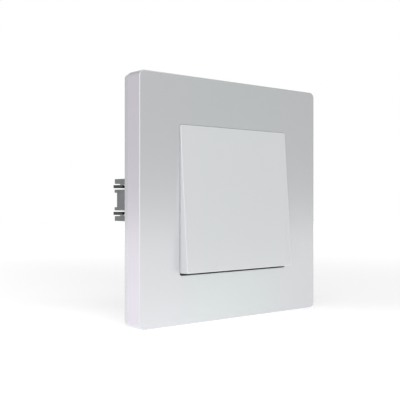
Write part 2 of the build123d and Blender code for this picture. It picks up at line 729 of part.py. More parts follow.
def ring_rivets():
    """Four rivets through ring and cover into the housing."""
    rivets = []
    for x in both(RIVET_X):
        for z in both(RIVET_Z):
            rivet = rod_y(RIVET_R, (RING_FRONT, COVER_REAR + RIVET_DEPTH), x, z)
            rivet += rod_y(RIVET_HEAD_R, (RING_FRONT - RIVET_HEAD_T, RING_FRONT), x, z)
            rivets.append(rivet)
    return Compound([solid for rivet in rivets for solid in rivet.solids()])


def claw(side):
    """Bent steel claw: web with a ramp, two flanges, hinge tongues and spring ears."""
    ramp_x = CLAW_X - CLAW_OUT + CLAW_RAMP_OUT
    web = [
        (ramp_x - CLAW_WEB_T, CLAW_RAMP_FRONT),
        (ramp_x, CLAW_RAMP_FRONT),
        (CLAW_X, CLAW_RAMP_REAR),
        (CLAW_X, CLAW_WEB_REAR),
        (CLAW_X - CLAW_WEB_T, CLAW_WEB_REAR),
        (CLAW_X - CLAW_WEB_T, CLAW_RAMP_REAR),
    ]
    piece = prism_z(web, both(FLANGE_OUT))
    flange = [
        (HINGE_X - CLAW_HINGE_R, HINGE_Y),
        (HINGE_X + CLAW_HINGE_R, HINGE_Y),
        (ramp_x, CLAW_RAMP_FRONT),
        (CLAW_X, CLAW_RAMP_REAR),
        (CLAW_X, CLAW_REAR),
        (CLAW_X - CLAW_FLANGE_W, CLAW_REAR),
        (CLAW_X - CLAW_FLANGE_W, CLAW_RAMP_REAR),
    ]
    tongue_x = about(HINGE_X, CLAW_TONGUE_W)
    leaf_in = CLAW_X - GUIDE_BACK - LEAF_T
    for level in LEVELS.values():
        cheek = prism_z(flange, (FLANGE_IN, FLANGE_OUT))
        cheek += Pos(HINGE_X, HINGE_Y, (FLANGE_IN + FLANGE_OUT) / 2) * Cylinder(CLAW_HINGE_R, CLAW_T)
        cheek += block(tongue_x, (-CLAW_TONGUE_IN, HINGE_Y), (FLANGE_IN, FLANGE_OUT))
        ear_x = leaf_in - LEAF_EAR_GAP
        cheek += block((ear_x - EAR_W, ear_x), (EAR_FRONT, EAR_FRONT + EAR_L),
                       (FLANGE_IN, LEAF_Z + LEAF_W / 2))
        piece += in_quarter(cheek, 1, level)
    return on_side(piece, side)


def claw_spring(side):
    """Leaf spring: two folded legs beside the ears of the claw, joined behind the housing."""
    leg_x = CLAW_X - GUIDE_BACK - LEAF_T / 2
    path = FilletPolyline(
        (leg_x, LEAF_FRONT, LEAF_Z),
        (leg_x, LEAF_REAR, LEAF_Z),
        (LEAF_X, LEAF_REAR, LEAF_Z),
        (LEAF_X, LEAF_REAR, -LEAF_Z),
        (leg_x, LEAF_REAR, -LEAF_Z),
        (leg_x, LEAF_FRONT, -LEAF_Z),
        radius=[LEAF_FOLD, LEAF_TURN, LEAF_TURN, LEAF_FOLD],
    )
    profile = Plane(origin=path @ 0, x_dir=(1, 0, 0), z_dir=path % 0) * Rectangle(LEAF_T, LEAF_W)
    return on_side(sweep(profile, path=path), side)


def claw_screw(side):
    """Screw that draws the nut forward, with a cross slot in its head."""
    head_front = RING_FRONT - SCREW_HEAD_T
    screw = rod_y(SCREW_R, (RING_FRONT, SCREW_REACH), SCREW_X)
    screw = chamfer(edges_at(screw, SCREW_REACH), SCREW_TIP)
    head = rod_y(SCREW_HEAD_R, (head_front, RING_FRONT), SCREW_X)
    head = fillet(edges_at(head, head_front), SCREW_HEAD_T / 4)
    slot_y = (head_front - OVERCUT, head_front + SCREW_SLOT_D)
    head -= block(about(SCREW_X, 2 * SCREW_R), slot_y, both(SCREW_SLOT_W / 2))
    head -= block(about(SCREW_X, SCREW_SLOT_W), slot_y, both(SCREW_R))
    return on_side(screw + head, side)


def claw_nut(side):
    """Block nut that slides along the housing and spreads the claw."""
    low = BASE_X + NUT_BASE_GAP
    nut = block((low, low + NUT_W), (NUT_AT, NUT_AT + NUT_T), both(NUT_HALF_H))
    nut -= rod_y(SCREW_R + NUT_FIT, (NUT_AT - OVERCUT, NUT_AT + NUT_T + OVERCUT), SCREW_X)
    return on_side(nut, side)


def all_pieces():
    """Every piece of the switch under the name of its node."""
    pieces = {
        "cover_frame": cover_frame(),
        "rocker": rocker(),
        "rocker_carrier": rocker_carrier(),
        "mechanism_cover": mechanism_cover(),
        "support_ring": support_ring(),
        "ring_rivets": ring_rivets(),
        "base_housing": base_housing(),
        "fixed_contacts": fixed_contacts(),
        "cross_strip_flat": cross_strip_flat(),
        "cross_strip_joggled": cross_strip_joggled(),
    }
    paired = {
        "plunger": plunger,
        "plunger_spring": plunger_spring,
        "contact_lever": contact_lever,
        "lever_contacts": lever_contacts,
        "common_strip": common_strip,
        "claw": claw,
        "claw_spring": claw_spring,
        "claw_screw": claw_screw,
        "claw_nut": claw_nut,
    }
    for name, make in paired.items():
        for side_name, side in SIDES.items():
            pieces[f"{name}_{side_name}"] = make(side)
    for level_name, level in LEVELS.items():
        for side_name, side in SIDES.items():
            pieces[f"clamp_spring_{level_name}_{side_name}"] = clamp_spring(side, level)
            pieces[f"release_button_{level_name}_{side_name}"] = release_button(side, level)
    return pieces


os.makedirs("parts", exist_ok=True)
for node, piece in all_pieces().items():
    export_step(piece, f"parts/{node}.step")
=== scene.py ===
"""Looks of a flush-mounted rocker switch: finishes, soft edges, threads, springs and a white studio.

Metres, X to the right, Y into the wall, Z up, wall plane at Y = 0.
"""

import json
import logging
import math
from dataclasses import dataclass, field, replace
from enum import Enum

import bmesh
import bpy
from mathutils import Euler, Matrix, Vector


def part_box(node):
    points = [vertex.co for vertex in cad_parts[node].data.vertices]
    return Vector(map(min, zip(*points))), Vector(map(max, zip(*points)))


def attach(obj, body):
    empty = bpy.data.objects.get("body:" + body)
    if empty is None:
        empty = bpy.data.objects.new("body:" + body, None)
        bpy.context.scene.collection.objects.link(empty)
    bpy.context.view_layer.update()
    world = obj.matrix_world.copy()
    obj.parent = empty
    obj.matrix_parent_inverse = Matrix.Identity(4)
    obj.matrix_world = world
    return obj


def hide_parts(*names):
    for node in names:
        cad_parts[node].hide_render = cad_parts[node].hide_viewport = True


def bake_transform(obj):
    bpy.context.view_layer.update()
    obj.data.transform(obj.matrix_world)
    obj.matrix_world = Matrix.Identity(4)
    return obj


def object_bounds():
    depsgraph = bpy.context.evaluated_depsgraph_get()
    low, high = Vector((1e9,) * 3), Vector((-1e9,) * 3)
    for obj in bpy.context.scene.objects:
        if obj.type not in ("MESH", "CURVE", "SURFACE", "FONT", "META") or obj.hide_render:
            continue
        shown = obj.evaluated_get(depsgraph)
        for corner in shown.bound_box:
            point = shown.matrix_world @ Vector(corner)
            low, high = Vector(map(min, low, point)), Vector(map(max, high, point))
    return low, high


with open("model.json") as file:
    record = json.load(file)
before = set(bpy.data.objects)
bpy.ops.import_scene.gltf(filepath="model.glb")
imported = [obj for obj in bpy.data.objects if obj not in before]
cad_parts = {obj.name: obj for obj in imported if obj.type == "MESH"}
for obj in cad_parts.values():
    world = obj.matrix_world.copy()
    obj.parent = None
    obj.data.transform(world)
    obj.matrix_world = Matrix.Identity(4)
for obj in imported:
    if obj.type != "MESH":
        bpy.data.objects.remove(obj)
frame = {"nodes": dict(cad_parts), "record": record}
CAD_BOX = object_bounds()

MM = 0.001
SIDES = ("left", "right")
QUARTERS = ("top_left", "top_right", "bottom_left", "bottom_right")
# The rocker wears a lighter copy of the frame's pearl plastic: the extra lightness is painted light, for its
# face that tilts up towards the lamps
ROCKER_PAINTED_LIGHTER_FINISH = "pearl_plastic_rocker_painted_lighter"

# Points nearer than these are one point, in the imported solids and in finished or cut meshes
WELD = 0.001 * MM
FINE_WELD = 0.0005 * MM
# Faces that meet at less than these angles are one flat face, and shaded as one round face
FLAT = math.radians(0.5)
CREASE = math.radians(32)
# Length of one band of Blender's wave texture at scale 1
WAVE_LENGTH = math.tau / 20.0
# Finer layers in the noise of colour patches and of grain
PATCH_LAYERS = 3.0
GRAIN_LAYERS = 2.0
# Factors at which a blend of two colours starts and ends
RAMP_ENDS = (0.32, 0.68)

Colour = tuple[float, float, float]
Stretch = tuple[float, float, float]
Socket = bpy.types.NodeSocket
Part = bmesh.types.BMVert | bmesh.types.BMEdge | bmesh.types.BMFace
WHITE = (1.0, 1.0, 1.0, 1.0)
log = logging.getLogger("switch")


class Grain(Enum):
    """How the fine relief of a surface was made."""

    MOULDED = "fine even pits of a spark-eroded mould"
    LACQUERED = "faint ripple of a sprayed lacquer"
    ROLLED = "long lines of a rolled or drawn metal"
    PLATED = "small crystals of a plated coat"


class Edge(Enum):
    """Width of the softened edge of a piece, in metres."""

    MOULDED = 0.16 * MM
    STAMPED = 0.12 * MM
    FINE = 0.06 * MM


class Graph:
    """Node tree of one material, with short ways to add and join nodes."""

    def __init__(self, name: str) -> None:
        """Start an empty material with a shader joined to its output.

        Args:
            name: Name of the material.
        """
        self.material = bpy.data.materials.new(name)
        self.material.use_nodes = True
        self.tree = self.material.node_tree
        self.tree.nodes.clear()
        output = self.add("ShaderNodeOutputMaterial")
        self.shader = self.add("ShaderNodeBsdfPrincipled")
        self.link(self.shader.outputs["BSDF"], output.inputs["Surface"])

    def add(self, kind: str, **sockets: object) -> bpy.types.Node:
        """Add a node and set its input sockets by name.

        Args:
            kind: Blender's type name of the node.
            sockets: Values of its inputs, with _ for a space in a name.

        Returns:
            The new node.
        """
        node = self.tree.nodes.new(kind)
        for name, value in sockets.items():
            node.inputs[name.replace("_", " ")].default_value = value
        return node

    def link(self, source: Socket, target: Socket) -> None:
        """Join an output to an input."""
        self.tree.links.new(source, target)

    def coordinates(self, stretch: Stretch = (1.0, 1.0, 1.0)) -> Socket:
        """Object coordinates, stretched along the axes.

        Args:
            stretch: Factor on each axis.

        Returns:
            The socket that holds the coordinates.
        """
        place = self.add("ShaderNodeTexCoord")
        mapping = self.add("ShaderNodeMapping", Scale=stretch)
        self.link(place.outputs["Object"], mapping.inputs["Vector"])
        return mapping.outputs["Vector"]

    def noise(self, coordinates: Socket, size: float, detail: float) -> Socket:
        """Soft noise whose features have a real size.

        Args:
            coordinates: Where to read the noise.
            size: Size of a feature in metres.
            detail: Number of finer layers.

        Returns:
            The socket that holds the noise from 0 to 1.
        """
        noise = self.add("ShaderNodeTexNoise", Scale=1.0 / size, Detail=detail)
        self.link(coordinates, noise.inputs["Vector"])
        return noise.outputs["Fac"]

    def cells(self, coordinates: Socket, size: float) -> Socket:
        """Cells of one grey each, as flakes or crystals have.

        Args:
            coordinates: Where to read the cells.
            size: Size of a cell in metres.

        Returns:
            The socket that holds the grey of each cell.
        """
        cells = self.add("ShaderNodeTexVoronoi", Scale=1.0 / size)
        self.link(coordinates, cells.inputs["Vector"])
        split = self.add("ShaderNodeSeparateColor")
        self.link(cells.outputs["Color"], split.inputs["Color"])
        return split.outputs["Red"]

    def drift(self, coordinates: Socket, length: float) -> Socket:
        """Slow soft bands from side to side, as pearl pigment flows in a mould.

        Args:
            coordinates: Where to read the bands.
            length: Distance from one band to the next in metres.

        Returns:
            The socket that holds 1 in the middle of a band and 0 between two.
        """
        bands = self.add("ShaderNodeTexWave", Scale=WAVE_LENGTH / length, Distortion=1.2, Detail=1.0,
                         Detail_Scale=0.02 / length, Phase_Offset=math.pi)
        bands.bands_direction = "X"
        self.link(coordinates, bands.inputs["Vector"])
        return bands.outputs["Fac"]

    def between(self, factor: Socket, low: float, high: float) -> Socket:
        """Number that runs from low to high with a factor.

        Args:
            factor: Socket that holds a number from 0 to 1.
            low: Result at 0.
            high: Result at 1.

        Returns:
            The socket that holds the result.
        """
        spread = self.add("ShaderNodeMapRange", To_Min=low, To_Max=high)
        self.link(factor, spread.inputs["Value"])
        return spread.outputs["Result"]

    def along(self, coordinates: Socket, way: Vector, start: float, end: float) -> Socket:
        """Number that rises smoothly from 0 to 1 on a way through space.

        Args:
            coordinates: Where to read it.
            way: Direction of the way, of length 1.
            start: Distance from the origin at which it starts to rise, in metres.
            end: Distance at which it is 1.

        Returns:
            The socket that holds the number.
        """
        reach = self.add("ShaderNodeVectorMath")
        reach.operation = "DOT_PRODUCT"
        reach.inputs[1].default_value = way
        self.link(coordinates, reach.inputs[0])
        return self.rise(reach.outputs["Value"], start, end)

    def distance(self, coordinates: Socket, start: float, end: float) -> Socket:
        """Number that rises smoothly from 0 to 1 with the distance from the origin.

        Args:
            coordinates: Where to read it.
            start: Distance at which it starts to rise, in metres.
            end: Distance at which it is 1.

        Returns:
            The socket that holds the number.
        """
        reach = self.add("ShaderNodeVectorMath")
        reach.operation = "LENGTH"
        self.link(coordinates, reach.inputs[0])
        return self.rise(reach.outputs["Value"], start, end)

    def outskirts(self, coordinates: Socket, start: float, end: float) -> Socket:
        """Number that rises smoothly from 0 to 1 towards the outline of a square piece, seen from the front.

        Args:
            coordinates: Where to read it.
            start: Half width of the square in which it is 0, in metres.
            end: Half width of the square outside which it is 1.

        Returns:
            The socket that holds the number.
        """
        size = self.add("ShaderNodeVectorMath")
        size.operation = "ABSOLUTE"
        self.link(coordinates, size.inputs[0])
        split = self.add("ShaderNodeSeparateXYZ")
        self.link(size.outputs["Vector"], split.inputs["Vector"])
        return self.rise(self.math("MAXIMUM", split.outputs["X"], split.outputs["Z"]), start, end)

    def rise(self, value: Socket, start: float, end: float) -> Socket:
        """Number that rises smoothly from 0 to 1 while another goes from start to end.

        Args:
            value: Socket that holds the other number.
            start: Its value at 0.
            end: Its value at 1.

        Returns:
            The socket that holds the number.
        """
        rise = self.add("ShaderNodeMapRange", From_Min=start, From_Max=end)
        rise.interpolation_type = "SMOOTHSTEP"
        self.link(value, rise.inputs["Value"])
        return rise.outputs["Result"]

    def tint(self, factor: Socket, base: Socket, colour: Colour) -> Socket:
        """Colour that turns into another with a factor.

        Args:
            factor: Socket that holds a number from 0 to 1.
            base: Socket that holds the colour at 0.
            colour: Linear colour at 1.

        Returns:
            The socket that holds the result.
        """
        mix = self.add("ShaderNodeMix")
        mix.data_type = "RGBA"
        first, second = [socket for socket in mix.inputs if socket.type == "RGBA"]
        self.link(factor, mix.inputs["Factor"])
        self.link(base, first)
        second.default_value = (*colour, 1.0)
        return next(socket for socket in mix.outputs if socket.type == "RGBA")

    def math(self, kind: str, first: Socket, second: Socket) -> Socket:
        """Result of an operation on two numbers.

        Args:
            kind: Blender's name of the operation.
            first: Socket of the first number.
            second: Socket of the second number.

        Returns:
            The socket that holds the result.
        """
        node = self.add("ShaderNodeMath")
        node.operation = kind
        self.link(first, node.inputs[0])
        self.link(second, node.inputs[1])
        return node.outputs["Value"]

    def blend(self, factor: Socket, first: Colour, second: Colour) -> Socket:
        """Colour that runs from one to another with a factor.

        Args:
            factor: Socket that holds a number from 0 to 1.
            first: Linear colour at the low end.
            second: Linear colour at the high end.

        Returns:
            The socket that holds the colour.
        """
        ramp = self.add("ShaderNodeValToRGB")
        for stop, position, colour in zip(ramp.color_ramp.elements, RAMP_ENDS, (first, second)):
            stop.position = position
            stop.color = (*colour, 1.0)
        self.link(factor, ramp.inputs["Fac"])
        return ramp.outputs["Color"]

    def relief(self, height: Socket, depth: float) -> None:
        """Let a height shade the surface as fine relief.

        Args:
            height: Socket that holds the height from 0 to 1.
            depth: Real depth of the relief in metres.
        """
        bump = self.add("ShaderNodeBump", Strength=1.0, Distance=depth)
        self.link(height, bump.inputs["Height"])
        self.link(bump.outputs["Normal"], self.shader.inputs["Normal"])


@dataclass(frozen=True)
class Finish:
    """Surface of one material: two near colours in patches, grain, gloss and relief.

    Where flow is set, the colours run in bands of that length in place of patches. Where wall is set, it is
    the colour of the frame's outer walls, reached across wall_fade: a pearl hue, with a slightly lighter tone
    that is painted light, as the side faces catch it.
    """

    name: str
    light: Colour
    dark: Colour
    grain: Grain
    rough: tuple[float, float]
    patch: float = 14 * MM
    flow: float = 0.0
    wall: Colour | None = None
    wall_fade: float = 0.3 * MM
    grain_size: float = 0.25 * MM
    depth: float = 0.004 * MM
    metallic: float = 0.0
    coat: float = 0.0
    coat_rough: float = 0.1
    sheen: float = 0.0
    stretch: Stretch = (1.0, 1.0, 1.0)

    def make(self) -> bpy.types.Material:
        """Build the material.

        Returns:
            A new procedural material.
        """
        graph = Graph(self.name)
        plain = graph.coordinates()
        patches = graph.drift(plain, self.flow) if self.flow else graph.noise(plain, self.patch, PATCH_LAYERS)
        grain = self._grain(graph)
        shader = graph.shader
        colour = graph.blend(patches, self.dark, self.light)
        # Outer walls get a lilac, slightly lighter tint: a pearl hue, and painted light that the side faces
        # catch
        if self.wall:
            half = CAD_BOX[1].x
            wall_hue_and_light = graph.outskirts(plain, half - self.wall_fade, half)
            colour = graph.tint(wall_hue_and_light, colour, self.wall)
        graph.link(colour, shader.inputs["Base Color"])
        graph.link(graph.between(grain, *self.rough), shader.inputs["Roughness"])
        graph.relief(grain, self.depth)
        shader.inputs["Metallic"].default_value = self.metallic
        shader.inputs["Coat Weight"].default_value = self.coat
        shader.inputs["Coat Roughness"].default_value = self.coat_rough
        shader.inputs["Sheen Weight"].default_value = self.sheen
        return graph.material

    def _grain(self, graph: Graph) -> Socket:
        """Fine pattern of the surface.

        Args:
            graph: Node tree to add to.

        Returns:
            The socket that holds the pattern from 0 to 1.
        """
        place = graph.coordinates(self.stretch)
        if self.grain is Grain.PLATED:
            return graph.cells(place, self.grain_size)
        return graph.noise(place, self.grain_size, GRAIN_LAYERS)


def finishes() -> dict[str, Finish]:
    """Every finish of the switch under its name, which is its slot's name but for the rocker's.

    Returns:
        Names with their finishes.
    """
    # wall: lilac and slightly lighter than the face, a pearl hue with painted light for the side faces
    pearl = Finish("pearl_plastic", (0.690, 0.722, 0.722), (0.704, 0.714, 0.732), Grain.LACQUERED,
                   rough=(0.23, 0.27), flow=83 * MM, wall=(0.752, 0.716, 0.786), grain_size=0.12 * MM,
                   depth=0.0001 * MM, metallic=0.55, coat=0.20)
    rows = [
        pearl,
        # Lighter colours than the frame's: painted light for the rocker's upward-tilted face
        replace(pearl, name=ROCKER_PAINTED_LIGHTER_FINISH, light=(0.752, 0.772, 0.785), dark=(0.764, 0.770, 0.792),
                wall=None, metallic=0.25),
        Finish("grey_plastic", (0.208, 0.212, 0.216), (0.178, 0.182, 0.187), Grain.MOULDED,
               rough=(0.48, 0.62), depth=0.010 * MM),
        Finish("light_grey_plastic", (0.52, 0.52, 0.51), (0.47, 0.47, 0.465), Grain.MOULDED,
               rough=(0.45, 0.58), depth=0.008 * MM),
        Finish("white_nylon", (0.74, 0.73, 0.69), (0.68, 0.67, 0.63), Grain.MOULDED,
               rough=(0.38, 0.50), depth=0.005 * MM, sheen=0.1),
        Finish("button_plastic", (0.72, 0.34, 0.06), (0.66, 0.29, 0.05), Grain.MOULDED,
               rough=(0.40, 0.52), depth=0.006 * MM),
        Finish("zinced_steel", (0.64, 0.65, 0.65), (0.575, 0.59, 0.605), Grain.PLATED,
               rough=(0.26, 0.36), patch=7 * MM, grain_size=0.4 * MM, depth=0.0004 * MM, metallic=1.0),
        Finish("claw_steel", (0.295, 0.30, 0.305), (0.235, 0.24, 0.25), Grain.ROLLED,
               rough=(0.30, 0.48), patch=4 * MM, grain_size=0.18 * MM, depth=0.002 * MM, metallic=1.0,
               stretch=(1.0, 0.06, 1.0)),
        Finish("spring_steel", (0.50, 0.51, 0.52), (0.40, 0.41, 0.42), Grain.ROLLED,
               rough=(0.22, 0.36), patch=3 * MM, grain_size=0.12 * MM, depth=0.001 * MM, metallic=1.0,
               stretch=(1.0, 0.1, 1.0)),
        Finish("blackened_steel", (0.055, 0.055, 0.057), (0.032, 0.032, 0.034), Grain.ROLLED,
               rough=(0.42, 0.58), patch=1.5 * MM, grain_size=0.15 * MM, depth=0.002 * MM, metallic=0.2,
               stretch=(1.0, 0.15, 1.0)),
        Finish("strip_brass", (0.78, 0.58, 0.27), (0.66, 0.46, 0.19), Grain.ROLLED,
               rough=(0.22, 0.38), patch=5 * MM, grain_size=0.15 * MM, depth=0.0015 * MM, metallic=1.0,
               stretch=(0.05, 1.0, 1.0)),
        Finish("silver_contact", (0.88, 0.87, 0.84), (0.74, 0.72, 0.68), Grain.PLATED,
               rough=(0.20, 0.34), patch=1.5 * MM, grain_size=0.2 * MM, depth=0.001 * MM, metallic=1.0),
    ]
    return {row.name: row for row in rows}


@dataclass
class Palette:
    """The switch's materials, made once and given to its nodes and pieces."""

    materials: dict[str, bpy.types.Material] = field(default_factory=dict)

    def mix(self) -> None:
        """Make every material."""
        for name, finish in finishes().items():
            self.materials[name] = finish.make()

    def paint(self, piece: bpy.types.Object, name: str) -> None:
        """Give a piece one finish all over.

        Args:
            piece: Mesh object to paint.
            name: Name of the finish.
        """
        piece.data.materials.clear()
        piece.data.materials.append(self.materials[name])


def node_slot(node: str) -> str:
    """Material slot that the record gives to a node."""
    rows = frame["record"]["subparts"]
    return next(row["material_slot"] for row in rows if row["node"] == node)


def node_body(node: str) -> str:
    """Body that a node rides on."""
    bodies = frame["record"]["behaviour"]["bodies"]
    return next(body for body, nodes in bodies.items() if node in nodes)


def outermost(node: str, side: str, inwards: float = 0.0) -> Vector:
    """Point of the X axis that is level with the outer face of a node.

    Args:
        node: Name of the node.
        side: Side of the switch on which its outer face is taken.
        inwards: Distance from the face towards the middle.

    Returns:
        The point, in metres.
    """
    low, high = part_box(node)
    x = high.x - inwards if side == "right" else low.x + inwards
    return Vector((x, 0.0, 0.0))


def add_object(name: str, data: bpy.types.ID) -> bpy.types.Object:
    """Put a mesh, lamp or camera into the scene.

    Args:
        name: Name of the object.
        data: What the object shows or does.

    Returns:
        The new object, at the origin.
    """
    holder = bpy.data.objects.new(name, data)
    bpy.context.scene.collection.objects.link(holder)
    return holder


def facing(way: Vector) -> Euler:
    """Turn of a lamp or camera that points a given way."""
    return way.to_track_quat("-Z", "Y").to_euler()


def whole(mesh: bmesh.types.BMesh) -> list[Part]:
    """Every point, edge and face of a mesh."""
    return mesh.verts[:] + mesh.edges[:] + mesh.faces[:]


def seal(mesh: bmesh.types.BMesh) -> None:
    """Join the points that coincide and turn every face outwards."""
    bmesh.ops.remove_doubles(mesh, verts=mesh.verts, dist=FINE_WELD)
    bmesh.ops.recalc_face_normals(mesh, faces=mesh.faces)


def merged_copy(node: str) -> bmesh.types.BMesh:
    """Closed mesh of a node, with its flat faces whole.

    Args:
        node: Name of the node.

    Returns:
        A new mesh with the form of the node.
    """
    mesh = bmesh.new()
    mesh.from_mesh(frame["nodes"][node].data)
    bmesh.ops.remove_doubles(mesh, verts=mesh.verts, dist=WELD)
    bmesh.ops.dissolve_limit(mesh, angle_limit=FLAT, verts=mesh.verts, edges=mesh.edges)
    return mesh


def as_object(name: str, mesh: bmesh.types.BMesh) -> bpy.types.Object:
    """Turn a mesh into an object of the scene, smooth between its sharp edges.

    Args:
        name: Name of the piece.
        mesh: Mesh that is used up.

    Returns:
        The new object, at the origin.
    """
    for face in mesh.faces:
        face.smooth = True
    for edge in mesh.edges:
        edge.smooth = edge.is_manifold and edge.calc_face_angle() < CREASE
    data = bpy.data.meshes.new(name)
    mesh.to_mesh(data)
    mesh.free()
    return add_object(name, data)


def keep_flat(piece: bpy.types.Object) -> None:
    """Let the shading of a piece follow its large faces, not its narrow roundings."""
    weighted = piece.modifiers.new("flat faces stay flat", "WEIGHTED_NORMAL")
    weighted.keep_sharp = True


@dataclass
class Piece:
    """Modelled piece that stands for a node and wears the node's finish."""

    node: str

    def dress(self, palette: Palette, piece: bpy.types.Object) -> None:
        """Paint the piece as its node.

        Args:
            palette: Materials of the switch.
            piece: The object that the piece was built as.
        """
        slot = node_slot(self.node)
        palette.paint(piece, slot)
        log.info("piece %s in %s", piece.name, slot)


@dataclass
class SoftEdged(Piece):
    """Copy of a node whose sharp outer edges are softened, as tools and moulds leave them.

    An edge has to be longer than room, and each edge at its ends longer than spare, both in widths of the
    softened edge. Its faces meet at more than sharp, and no edge at its ends leaves it by less than slant,
    both in degrees.
    """

    edge: Edge
    segments: int = 2
    room: float = 6.0
    spare: float = 2.5
    slant: float = 20.0
    sharp: float = 40.0

    def build(self) -> bpy.types.Object:
        """Model the piece.

        Returns:
            The new object, which stands for its node.
        """
        piece = as_object(f"{self.node}_soft", self.mesh())
        keep_flat(piece)
        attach(piece, node_body(self.node))
        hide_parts(self.node)
        return piece

    def mesh(self) -> bmesh.types.BMesh:
        """Form of the node with its edges softened.

        Returns:
            A new closed mesh.
        """
        mesh = merged_copy(self.node)
        edges = [edge for edge in mesh.edges if self._may_soften(edge)]
        bmesh.ops.bevel(mesh, geom=edges, offset=self.edge.value, offset_type="OFFSET", affect="EDGES",
                        segments=self.segments, profile=0.5, clamp_overlap=False, loop_slide=False,
                        material=-1)
        seal(mesh)
        return mesh

    def _may_soften(self, edge: bmesh.types.BMEdge) -> bool:
        """Whether an edge is sharp, juts out, and has room for a rounding all the way to its ends.

        Args:
            edge: Edge of the merged copy.

        Returns:
            True if the edge can be softened.
        """
        width = self.edge.value
        if not (edge.is_manifold and edge.is_convex and edge.calc_face_angle() > math.radians(self.sharp)):
            return False
        for vert in edge.verts:
            along = edge.other_vert(vert).co - vert.co
            for other in vert.link_edges:
                aside = other.other_vert(vert).co - vert.co
                if aside.length < self.spare * width:
                    return False
                if other is not edge and along.angle(aside) < math.radians(self.slant):
                    return False
        return edge.calc_length() > self.room * width


@dataclass
class Spring(Piece):
    """Spring of a node, whose start lies on one body and whose end lies on another."""

    holder: str
    mover: str
    start: Vector
    end: Vector
    cuts: int = 0

    def build(self) -> bpy.types.Object:
        """Model the spring, cut across between its start and end.

        Returns:
            The new object, which stands for its node.
        """
        mesh = SoftEdged(self.node, Edge.FINE).mesh()
        run = self.end - self.start
        for cut in range(self.cuts):
            place = self.start + run * (cut + 0.5) / self.cuts
            bmesh.ops.bisect_plane(mesh, geom=whole(mesh), dist=FINE_WELD, plane_co=place,
                                   plane_no=run.normalized())
        piece = as_object(f"{self.node}_bending", mesh)
        keep_flat(piece)
        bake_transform(piece)
        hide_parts(self.node)
        return piece


@dataclass
class Springs:
    """The springs of claws, clamps and plungers, which bend or shorten as the switch moves.

    Their ends keep their form: claw_bar at the inner and claw_leg at the outer end of a claw spring,
    clamp_bend at the outer end of a clamp spring and all that is nearer to its button than clamp_gap, and
    coil_end at both ends of a coil.
    """

    claw_bar: float = 2.0 * MM
    claw_leg: float = 1.0 * MM
    clamp_bend: float = 1.0 * MM
    clamp_gap: float = 0.1 * MM
    coil_end: float = 0.5 * MM
    cuts: int = 14

    def build(self, palette: Palette) -> None:
        """Model and dress the springs.

        Args:
            palette: Materials of the switch.
        """
        rows = [self._claw(side) for side in SIDES]
        rows += [self._plunger(side) for side in SIDES]
        rows += [self._clamp(quarter) for quarter in QUARTERS]
        for row in rows:
            row.dress(palette, row.build())

    def _claw(self, side: str) -> Spring:
        """Leaf that runs from the rear of the housing to the legs beside a claw.

        Args:
            side: Side of the switch.

        Returns:
            The spring, not yet built.
        """
        node = f"claw_spring_{side}"
        low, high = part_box(node)
        start = outermost(node, side, high.x - low.x - self.claw_bar)
        end = outermost(node, side, self.claw_leg)
        return Spring(node, "insert", f"claw_{side}", start, end, self.cuts)

    def _clamp(self, quarter: str) -> Spring:
        """Leaf whose tongue gives way under a release button.

        Args:
            quarter: Corner of the switch.

        Returns:
            The spring, not yet built.
        """
        node = f"clamp_spring_{quarter}"
        button = f"release_button_{quarter}"
        side = quarter.split("_")[1]
        start = outermost(node, side, self.clamp_bend)
        end = outermost(button, side, -self.clamp_gap)
        return Spring(node, "insert", button, start, end, self.cuts)

    def _plunger(self, side: str) -> Spring:
        """Coil between the rocker's carrier and a plunger.

        Args:
            side: Side of the switch.

        Returns:
            The spring, not yet built.
        """
        node = f"plunger_spring_{side}"
        low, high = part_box(node)
        start = Vector((0.0, low.y + self.coil_end, 0.0))
        end = Vector((0.0, high.y - self.coil_end, 0.0))
        return Spring(node, "rocker", f"plunger_{side}", start, end)


